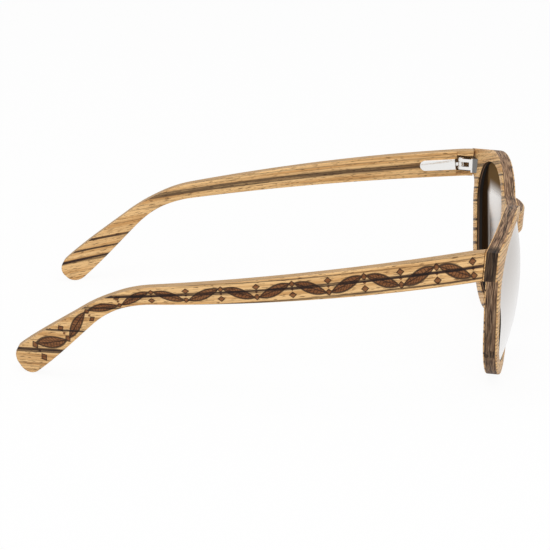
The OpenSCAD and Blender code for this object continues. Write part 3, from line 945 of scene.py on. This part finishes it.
def hollow(i, v, way, up):
    """Middle of the hollow corner between a level edge and the rim round circle i."""
    cx, cy, r = CIRCLES[i]
    rise = v + up * HOLLOW_R - cy
    reach = r + RIM_W + HOLLOW_R
    return cx + way * math.sqrt(reach * reach - rise * rise), cy + rise


def front_outline():
    centre = [c[:2] for c in CIRCLES]
    low, top = hollow(1, BRIDGE_LOW, -1, -1), hollow(1, BRIDGE_TOP, -1, 1)
    foot = hollow(0, -END_H / 2, 1, -1)
    end_top = (FRONT_W / 2, END_H / 2)
    brow_turn = (bearing(BROW_C, end_top)
                 + math.acos((BROW_R + RIM_W) / math.dist(end_top, BROW_C)))
    half = (arc(*low, HOLLOW_R, QUARTER, bearing(low, centre[1]), 10)
            + rim_arc(1, RIM_W, bearing(centre[1], low), touch(1, 2), 8)
            + rim_arc(2, RIM_W, touch(1, 2), touch(2, 0))
            + rim_arc(0, RIM_W, touch(2, 0), bearing(centre[0], foot), 8)
            + arc(*foot, HOLLOW_R, after(QUARTER, bearing(foot, centre[0])), QUARTER, 10)
            + [(FRONT_W / 2, -END_H / 2), end_top]
            + brow_arc(RIM_W, brow_turn)
            + rim_arc(1, RIM_W, brow_end(1), bearing(centre[1], top), 10)
            + arc(*top, HOLLOW_R, bearing(top, centre[1]), -QUARTER, 8))
    return spaced(half + mirrored(half), FRONT_STEP)


def front_place(x, v, r):
    """A point of the front: x across, v up its leaning face, at radius r of its curve."""
    dy = sag(x, r) - SEAT_Y
    return (x, SEAT_Y + dy * math.cos(LEAN) - v * math.sin(LEAN) - MIDDLE_Y,
            HINGE_Z + dy * math.sin(LEAN) + v * math.cos(LEAN))


def dome(r, flange):
    """Radius of the front's curve at a point of a lens's face: a dome that runs out softly into
    the flange."""
    soft = 0.25

    def level(x, v):
        cx, cy, cv = DOME_C
        y = cy - math.sqrt(r * r - (x - cx) ** 2 - (v - cv) ** 2)
        over = (math.hypot(x, REAR_R - y) - flange) / soft
        return flange + soft * math.log1p(math.exp(over))
    return level


def cap_level(less):
    """Radius of the front's curve at a point of the bridge cap, and less where it is rounded."""
    def level(x, _):
        y = CAP_R - FRONT_T - BRIDGE_RISE - math.sqrt(CAP_R ** 2 - x * x)
        top = math.hypot(x, REAR_R - y)
        return top - min(less, CAP_ROUND * (top - WRAP_R))
    return level


def half_height(s):
    """Half the temple's height at a distance s along its middle line."""
    if s < WAIST_S:
        share = max(0.0, s - LEAD_IN) / (WAIST_S - LEAD_IN)
        return END_H / 2 - (END_H - WAIST_H) / 2 * share ** TAPER_POWER
    t = (s - WAIST_S) / (TIP_S - WAIST_S)
    return WAIST_H / 2 + (TIP_H - WAIST_H) / 2 * t * t * (3 - 2 * t)


RUN_STEPS = 80
BEND_STEPS = 24
TIP_STEPS = 14
SEAM_MARK = SEAT_Y - 0.5
SEAM_CLEAR = 4.0
SEAM_ZONE = 1.2
SEAM_ROUNDS = 6


def tip_corner(c, r, fall):
    return [c + r * upward(fall + QUARTER * k / TIP_STEPS) for k in range(TIP_STEPS + 1)]


def temple_outline():
    """Side view of a temple, anticlockwise seen from +X, with its front edge at SEAM_MARK."""
    run, bend, hook = [], [], []
    for k in range(RUN_STEPS + 1):
        t = k / RUN_STEPS
        run.append((RUN_START.lerp(BEND_START, t), FALL, half_height(t * RUN_L)))
    for k in range(1, BEND_STEPS + 1):
        t = k / BEND_STEPS
        fall = FALL + (HOOK_FALL - FALL) * t
        bend.append((BEND_C + BEND_R * upward(fall), fall, half_height(RUN_L + BEND_L * t)))
        hook.append((BEND_END.lerp(TIP_C, t), HOOK_FALL, half_height(RUN_L + BEND_L + HOOK_L * t)))
    stations = [s for s in run + bend + hook if s[0].x > SEAT_Y + SEAM_CLEAR]
    upper = [p + h * upward(fall) for p, fall, h in stations]
    lower = [p - h * upward(fall) for p, fall, h in stations]
    tip = (tip_corner(TIP_HEAD, TIP_TOP_R, HOOK_FALL)
           + tip_corner(TIP_FOOT, TIP_LOW_R, HOOK_FALL + QUARTER))
    ends = [a.lerp(b, (SEAM_MARK - a.x) / (b.x - a.x)) for a, b, *_ in (lower, upper)]
    return spaced([ends[0]] + lower + tip[::-1] + upper[::-1] + [ends[1]], TEMPLE_STEP)


def temple_place(y, z, depth):
    """A point of a temple: place in the side view, and depth under its outer face."""
    def bow(yy):
        return BOW_C[0] + math.sqrt((BOW_R - depth) ** 2 - (yy - BOW_C[1]) ** 2)

    if y < SEAT_Y + SEAM_ZONE:
        for _ in range(SEAM_ROUNDS):
            x = bow(y)
            dy = REAR_R - math.sqrt((REAR_R - SEAM_GAP) ** 2 - x * x) - SEAT_Y
            v = (z - HINGE_Z - dy * math.sin(LEAN)) / math.cos(LEAN)
            y = SEAT_Y + dy * math.cos(LEAN) - v * math.sin(LEAN)
    return bow(y), y - MIDDLE_Y, z


def hinge_place(x, y, z):
    """A point of the hinge: x outward and y rearward from the pin."""
    p = Matrix.Rotation(-HINGE_TURN, 3, "Z") @ Vector((x, y, z))
    return p.x + PIN_X, p.y + PIN_Y - MIDDLE_Y, p.z + HINGE_Z - HINGE_DROP


def spring_place(y, z, x):
    """A point of the spring box, which lies down the temple's fall."""
    return hinge_place(*(Matrix.Rotation(-FALL, 3, "X") @ Vector((x, y, z))))


FAR = 12.0


def block(side, x0, x1, y0, y1, height):
    """A tool of the hinge's recess, square to the pin."""
    outline = [(y0, -height / 2), (y1, -height / 2), (y1, height / 2), (y0, height / 2)]
    return layer("block", [outline], [(0.0, x0), (0.0, x1)],
                 lambda y, z, x: hinge_place(x, y, z), (), side)


def housing_outline(start):
    half = HOUSING_H / 2
    end = MOUTH_Y + HOUSING_L - half
    return [(start, -half)] + arc(end, 0.0, half, -QUARTER, QUARTER, 32) + [(start, half)]


def hinge_room(side):
    """Tools for the recess of the ears, the step round it, the turning end and the spring box."""
    meet = -math.sqrt(TURN_R ** 2 - TURN_X ** 2)
    turn = (arc(0.0, 0.0, TURN_R, -math.pi, math.atan2(meet, TURN_X), 24)
            + [(TURN_X, -FAR), (-FAR, -FAR), (-FAR, 0.0)])
    return [
        block(side, -FAR, RECESS_D, -FAR, STEP_Y, PLATE_H + 2 * PLATE_PLAY),
        block(side, -FAR, STEP_D, -FAR, STEP_Y, 2 * END_H),
        layer("turn", [turn[::-1]], [(0.0, -END_H), (0.0, END_H)], hinge_place, (), side),
        layer("slot", [housing_outline(0.0)], [(0.0, -FAR), (0.0, WALL_OUT)], spring_place, (),
              side),
    ]


# Pieces

class SUNGLASSES_OT_front(bpy.types.Operator):
    """Makes the four plies of the front, with sanded edges on the two faces"""

    bl_idname = "sunglasses.front"
    bl_label = "Front plies"

    def execute(self, context):
        edge = settings().wood.edge_round / MM
        outline = front_outline()
        face = front_wood("striped front veneer", 3.7, FACE_PITCH, 0.8)
        rear = front_wood("striped rear veneer", 11.2, REAR_PITCH, 0.9, REAR_STRIPES, REAR_SLANT)
        side_edge = edge_wood("front edge", front_lines, FRONT_T, 5.1, 0.0, True)
        lens_edge = opening_wood("shaded opening wall")
        plies = (
            ("front_veneer", 0.0, [(0.0, FACE_R)] + rounding(edge, WRAP_R, 1), face, "veneer"),
            ("groove_ply", GROOVE_D, [(0.0, GROOVE_R), (0.0, FACE_R)], side_edge, "core"),
            ("rear_core", 0.0, [(0.0, REAR_CORE_R), (0.0, GROOVE_R)], side_edge, "core"),
            ("rear_veneer", 0.0, [(0.0, REAR_CORE_R)] + rounding(edge, REAR_R, -1), rear,
             "veneer"),
        )
        for node, grow, levels, material, slot in plies:
            loops = [outline, opening(grow), mirrored(opening(grow))]
            ply = layer(node + "_wood", loops, levels, front_place,
                        (material, side_edge, lens_edge))
            if node != "front_veneer":
                cut(ply, [block(s, -PLATE_IN, EAR_R, -LEAF_BACK, -PLATE_BACK, PLATE_H)
                          for _, s in SIDES])
            seat(ply, "front", node)
        return {"FINISHED"}


class SUNGLASSES_OT_bridge(bpy.types.Operator):
    """Makes the rounded cap on the bridge"""

    bl_idname = "sunglasses.bridge"
    bl_label = "Bridge cap"

    def execute(self, context):
        edge = settings().wood.edge_round / MM
        wood = front_wood("striped bridge wood", 17.9, FACE_PITCH, 0.6)
        sides = edge_wood("bridge edge", cap_lines, 2 * CAP_DEPTH, 14.2, 0.0)
        outline = spaced([(-CAP_HALF, BRIDGE_LOW), (CAP_HALF, BRIDGE_LOW),
                          (CAP_HALF, BRIDGE_TOP), (-CAP_HALF, BRIDGE_TOP)], CAP_STEP)
        levels = [(0.0, WRAP_R)] + [(by, cap_level(less)) for by, less in rounding(edge, 0.0, -1)]
        cap = layer("bridge_cap_wood", [outline], levels, front_place, (wood, sides))
        seat(cap, "front", "bridge_cap")
        return {"FINISHED"}


class SUNGLASSES_OT_pads(bpy.types.Operator):
    """Finishes the two nose pads"""

    bl_idname = "sunglasses.pads"
    bl_label = "Nose pads"

    def execute(self, context):
        wood = front_wood("striped pad wood", 23.3, REAR_PITCH, 0.9)
        for name, _ in SIDES:
            coat(name + "_nose_pad", wood, settings().wood.edge_round)
        return {"FINISHED"}


class SUNGLASSES_OT_lenses(bpy.types.Operator):
    """Makes the two domed lenses, each with a flange in the groove"""

    bl_idname = "sunglasses.lenses"
    bl_label = "Lenses"

    def execute(self, context):
        glass = lens_glass("mirrored brown lens")
        front = FLANGE_R + LENS_T
        lip = GROOVE_D - EDGE_PLAY + FACE_GAP
        slope = 0.05
        levels = [(lip + slope, dome(DOME_R - LENS_T, FLANGE_R)), (lip, FLANGE_R), (0.0, FLANGE_R),
                  (0.0, front), (lip, front), (lip + slope, dome(DOME_R, front))]
        for name, side in SIDES:
            lens = layer(name + "_lens_glass", [opening(GROOVE_D - EDGE_PLAY)], levels,
                         front_place, (glass,), side, grid=LENS_GRID)
            seat(lens, "front", name + "_lens")
        return {"FINISHED"}


class SUNGLASSES_OT_temples(bpy.types.Operator):
    """Makes the three layers of each temple, with sanded edges and the hinge's recess"""

    bl_idname = "sunglasses.temples"
    bl_label = "Temple layers"

    def execute(self, context):
        edge = settings().wood.edge_round / MM
        outline = temple_outline()
        core_end = TEMPLE_T - VENEER_T
        for name, side in SIDES:
            outer = temple_wood(name + " engraved outer wood", OUTER_STRIPES, 2.3 + side, True)
            inner = temple_wood(name + " striped inner wood", INNER_STRIPES, 9.1 + side, False)
            sides = edge_wood(name + " temple edge", temple_lines, TEMPLE_T, 4.4 + side, 0.45)
            layers = (
                ("outer_veneer", [(0.0, VENEER_T)] + rounding(edge, 0.0, -1), outer, "veneer"),
                ("temple_core", [(0.0, core_end), (0.0, VENEER_T)], sides, "core"),
                ("inner_veneer", [(0.0, core_end)] + rounding(edge, TEMPLE_T, 1), inner, "veneer"),
            )
            for part, levels, material, slot in layers:
                node = f"{name}_{part}"
                piece = layer(node + "_wood", [outline], levels, temple_place,
                              (material, sides), side)
                if part != "outer_veneer":
                    cut(piece, hinge_room(side), True)
                seat(piece, name + "_temple", node)
        return {"FINISHED"}


class SUNGLASSES_OT_hinges(bpy.types.Operator):
    """Makes the two crowned spring housings and finishes the other hinge parts"""

    bl_idname = "sunglasses.hinges"
    bl_label = "Spring hinges"

    def execute(self, context):
        metal = settings().metal
        steel = hinge_steel("polished hinge steel")
        for name, side in SIDES:
            self.housing(name, side, steel, metal.edge_round / MM, metal.crown / MM)
            for part in ("leaf", "hook"):
                coat(f"{name}_{part}", steel, metal.edge_round)
            for part in ("pin", "stop", "spring", "bush"):
                coat(f"{name}_{part}", steel)
            self.shorten(name, side)
        return {"FINISHED"}

    def shorten(self, name, side):
        """Gives the spring its own mesh. The places of its start and stop are found but not used.
        """
        across = Vector((side, 1, 1)) * MM
        start, stop = (Vector(spring_place(y, 0.0, 0.0)) * across for y in (SPRING_Y, STOP_Y))
        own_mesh(NODES[name + "_spring"])

    def housing(self, name, side, steel, edge, crown):
        def face(less):
            return lambda y, z: (less - WALL_IN + crown * (z / (HOUSING_H / 2)) ** 2
                                 * (CROWN_MOUTH + (1 - CROWN_MOUTH) * (y - MOUTH_Y) / HOUSING_L))

        levels = [(0.0, WALL_OUT)] + [(by, face(less)) for by, less in rounding(edge, 0.0, -1)]
        box = layer(name + "_housing_steel", [spaced(housing_outline(MOUTH_Y), HOUSING_STEP)],
                    levels, spring_place, (steel,), side, grid=HOUSING_STEP)
        last = BORE_SIDES - 1
        circle = arc(0.0, 0.0, BORE_R, 0.0, 2 * math.pi * last / BORE_SIDES, last)
        bore = layer("bore", [circle], [(0.0, 0.0), (0.0, BORE_END)],
                     lambda x, z, y: spring_place(y, z, x), (), side)
        cut(box, [bore])
        seat(box, name + "_temple", name + "_housing")


# Stage

FLOOR_HALF = 4000.0
FLOOR_GLOW = 0.93
LIGHT_AIM = Vector((0, 0, 25))
# Place and size of each light, in millimetres.
TOP_LIGHT = ((-150, 60, 900), 900)
SIDE_LIGHT = ((-900, -350, 500), 700)


class SUNGLASSES_OT_stage(bpy.types.Operator):
    """Makes the floor, the soft lights and the camera"""

    bl_idname = "sunglasses.stage"
    bl_label = "Stage"

    def execute(self, context):
        scene = context.scene
        stage = settings().stage
        scene.view_settings.view_transform = "Standard"
        corners = [(x * FLOOR_HALF, y * FLOOR_HALF, 0)
                   for x, y in ((-1, -1), (1, -1), (1, 1), (-1, 1))]
        floor = solid("floor", corners, [(0, 1, 2, 3)], (floor_paint("pale floor", stage.floor),))
        world_light(scene, stage.sky)
        lights = (("top light", *TOP_LIGHT, stage.top_power),
                  ("side light", *SIDE_LIGHT, stage.side_power))
        for name, at, size, power in lights:
            lamp = bpy.data.lights.new(name, "AREA")
            lamp.shape, lamp.size, lamp.energy = "DISK", size * MM, power
            self.aim(scene, bpy.data.objects.new(name, lamp), Vector(at), LIGHT_AIM)
        camera = bpy.data.cameras.new("camera")
        camera.lens, camera.sensor_width = CAMERA_LENS, SENSOR_W
        scene.camera = bpy.data.objects.new("camera", camera)
        self.aim(scene, scene.camera, CAMERA_AT, CAMERA_AIM, CAMERA_ROLL)
        return {"FINISHED"}

    def aim(self, scene, obj, at, target, roll=0.0):
        """Puts a lamp or camera in its place, turned to its target, in millimetres."""
        turn = (target - at).to_track_quat("-Z", "Y").to_matrix() @ Matrix.Rotation(roll, 3, "Z")
        obj.matrix_world = Matrix.Translation(at * MM) @ turn.to_4x4()
        scene.collection.objects.link(obj)


def seen(tree):
    """1 for rays that come straight from the camera, a reflection or a clear body."""
    path = tree.node("ShaderNodeLightPath", out="Is Camera Ray")
    return path.most(path.out("Is Glossy Ray"), path.out("Is Transmission Ray"))


def floor_paint(name, color):
    """Pale floor that looks white and keeps the shadow."""
    material = bpy.data.materials.new(name)
    tree = Tree(material)
    dull = tree.node("ShaderNodeBsdfDiffuse", None, {"Color": color})
    glow = tree.node("ShaderNodeEmission", None, {"Color": (1.0, 1.0, 1.0), "Strength": 1.0})
    mix = tree.node("ShaderNodeMixShader", None, {0: seen(tree) * FLOOR_GLOW, 1: dull, 2: glow})
    tree.node("ShaderNodeOutputMaterial", None, {"Surface": mix})
    return material


def world_light(scene, strength):
    """Even white room light, seen as plain white."""
    scene.world = bpy.data.worlds.new("room")
    tree = Tree(scene.world)
    level = strength + seen(tree) * (1.0 - strength)
    back = tree.node("ShaderNodeBackground", None, {"Color": (1.0, 1.0, 1.0), "Strength": level})
    tree.node("ShaderNodeOutputWorld", None, {"Surface": back})


# Panel and registration

STEPS = (SUNGLASSES_OT_stage, SUNGLASSES_OT_front, SUNGLASSES_OT_bridge, SUNGLASSES_OT_pads,
         SUNGLASSES_OT_lenses, SUNGLASSES_OT_temples, SUNGLASSES_OT_hinges)


class SUNGLASSES_PT_panel(bpy.types.Panel):
    """Lists the steps and the settings"""

    bl_label = "Sunglasses"
    bl_space_type = "VIEW_3D"
    bl_region_type = "UI"
    bl_category = "Sunglasses"

    def draw(self, context):
        column = self.layout.column()
        for step in STEPS:
            column.operator(step.bl_idname)
        groups = context.scene.sunglasses
        for group in (groups.wood, groups.lens, groups.metal, groups.stage):
            box = self.layout.box()
            for name in group.__annotations__:
                box.prop(group, name)


CLASSES = (WoodSettings, LensSettings, MetalSettings, StageSettings, SunglassesSettings,
           *STEPS, SUNGLASSES_PT_panel)


def register():
    for c in CLASSES:
        bpy.utils.register_class(c)
    bpy.types.Scene.sunglasses = PointerProperty(type=SunglassesSettings)


def unregister():
    del bpy.types.Scene.sunglasses
    for c in reversed(CLASSES):
        bpy.utils.unregister_class(c)


def main():
    register()
    for step in STEPS:
        group, name = step.bl_idname.split(".")
        getattr(getattr(bpy.ops, group), name)()


if __name__ == "__main__":
    main()
